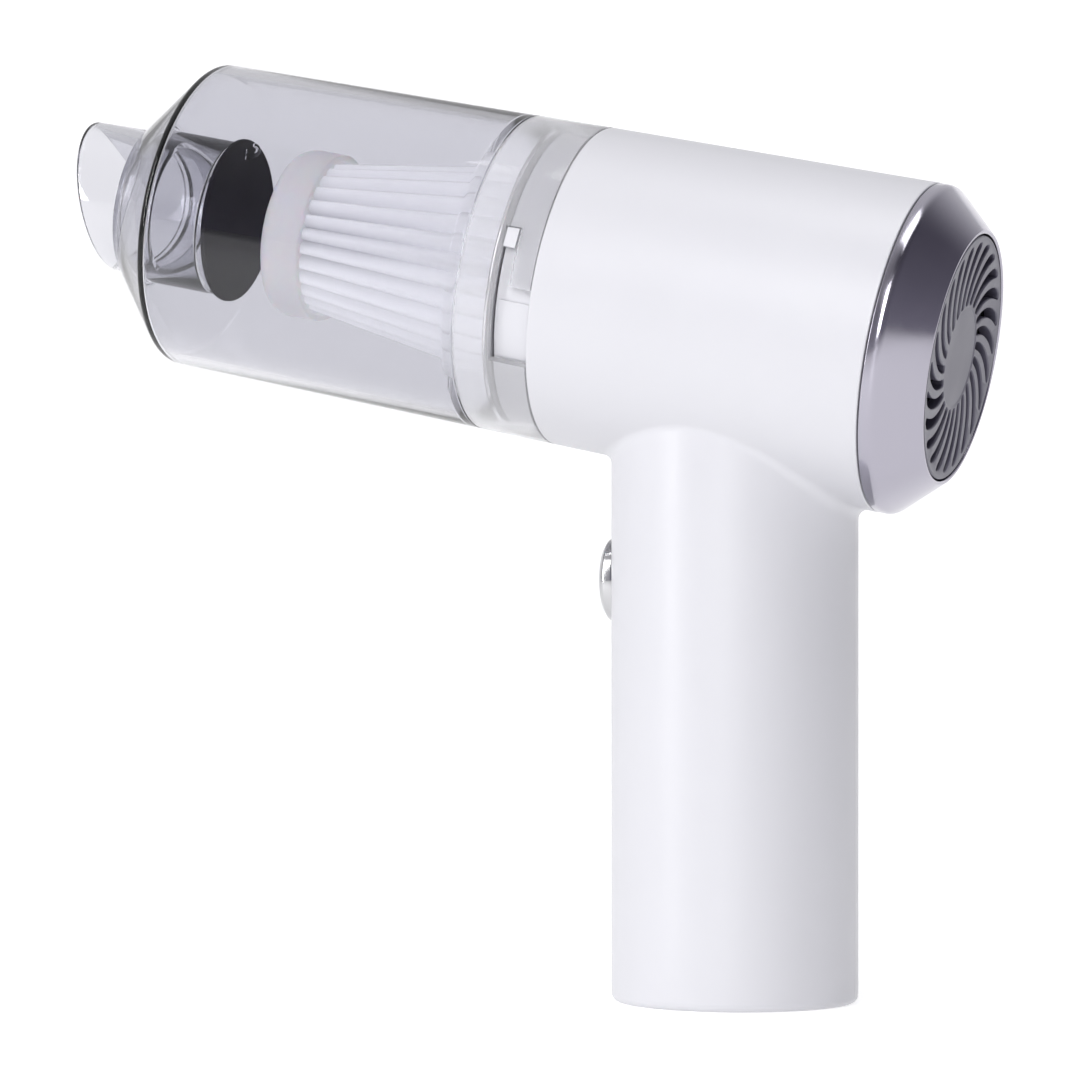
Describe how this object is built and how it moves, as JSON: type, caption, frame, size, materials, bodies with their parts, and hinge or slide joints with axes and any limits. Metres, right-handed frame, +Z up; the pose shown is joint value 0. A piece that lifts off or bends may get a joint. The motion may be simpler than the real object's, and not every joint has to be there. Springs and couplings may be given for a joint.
{
  "type": "handheld vacuum",
  "caption": "Cordless hand vacuum: clear dust cup and nozzle on a tilted white barrel, pleated filter, chrome-rimmed swirl exhaust grille, upright oval grip with a power button.",
  "frame": {"origin": "centre of the grip's flat base, which the object stands on", "axes": "+Z up the grip, -X towards the nozzle, +X towards the exhaust grille, +Y to the object's right seen from behind"},
  "size_m": [0.2067, 0.0712, 0.2055],
  "materials": {
    "white_shell": "satin moulded white",
    "clear_plastic": "polished clear, slightly smoked",
    "frosted_plastic": "frosted translucent",
    "milky_plastic": "milky translucent",
    "dark_chrome": "polished dark chrome plating",
    "bright_chrome": "polished bright chrome plating",
    "grille_grey": "satin moulded grey",
    "flap_rubber": "smooth soft rubber",
    "seal_rubber": "smooth soft rubber",
    "filter_paper": "folded filter fabric",
    "foam": "open-cell foam",
    "steel": "plated",
    "magnet": "sintered",
    "copper": "enamelled winding wire",
    "inner_black": "moulded black",
    "board_green": "solder mask",
    "cell_wrap": "shrink wrap",
    "lead_red": "wire sleeve"
  },
  "bodies": {
    "main": {"housing_left": "white_shell", "housing_right": "white_shell", "base_cap": "white_shell", "neck_ring": "white_shell", "cup_seal": "seal_rubber", "rear_ring": "dark_chrome", "rear_grille": "grille_grey", "exhaust_foam": "foam", "fan_shroud": "white_shell", "diffuser": "grille_grey", "motor_can": "steel", "motor_end_bell": "inner_black", "motor_magnet_upper": "magnet", "motor_magnet_lower": "magnet", "motor_damper": "seal_rubber", "motor_bracket": "grille_grey", "button_bezel": "bright_chrome", "button_spring": "steel", "power_switch": "inner_black", "battery_cell_left": "cell_wrap", "battery_cell_right": "cell_wrap", "battery_tray": "inner_black", "battery_clip": "inner_black", "cell_link": "steel", "control_board": "board_green", "capacitor": "inner_black", "charge_chip": "inner_black", "charge_port": "steel", "indicator_lens": "clear_plastic", "motor_lead_red": "lead_red", "motor_lead_black": "inner_black", "battery_lead_red": "lead_red", "battery_lead_black": "inner_black", "housing_screw_low_front": "steel", "housing_screw_low_rear": "steel", "housing_screw_mid_front": "steel", "housing_screw_mid_rear": "steel", "housing_screw_top": "steel"},
    "collar": {"bayonet_collar": "frosted_plastic"},
    "cup": {"dust_cup": "clear_plastic", "nozzle": "clear_plastic", "flap_hook": "clear_plastic"},
    "flap": {"inlet_flap": "flap_rubber"},
    "filter": {"filter_cap": "milky_plastic", "filter_pleats": "filter_paper", "filter_base": "milky_plastic", "filter_seal": "seal_rubber"},
    "rotor": {"motor_shaft": "steel", "impeller": "grille_grey", "fan_nut": "steel", "motor_armature": "copper"},
    "button": {"power_button": "bright_chrome", "switch_plunger": "white_shell"}
  },
  "joints": [
    {"name": "collar_twist", "type": "hinge", "parent": "main", "child": "collar", "pos_m": [-0.03376, 0, 0.1545], "axis": [-0.981, 0, 0.1942], "range_deg": [0, 36]},
    {"name": "cup_draw_off", "type": "slide", "parent": "collar", "child": "cup", "axis": [-0.981, 0, 0.1942], "range_m": [0, 0.075]},
    {"name": "flap_swing", "type": "hinge", "parent": "cup", "child": "flap", "pos_m": [-0.11433, 0, 0.18574], "axis": [0, -1, 0], "range_deg": [-2.5, 17]},
    {"name": "filter_unseat", "type": "slide", "parent": "main", "child": "filter", "axis": [-0.981, 0, 0.1942], "range_m": [0, 0.009]},
    {"name": "rotor_spin", "type": "hinge", "parent": "main", "child": "rotor", "pos_m": [-0.03376, 0, 0.1545], "axis": [-0.981, 0, 0.1942], "continuous": true},
    {"name": "button_press", "type": "slide", "parent": "main", "child": "button", "axis": [1, 0, 0], "range_m": [0, 0.0015], "stiffness_N_per_m": 1500, "springref_m": -0.001, "deforming": ["button_spring"]}
  ]
}
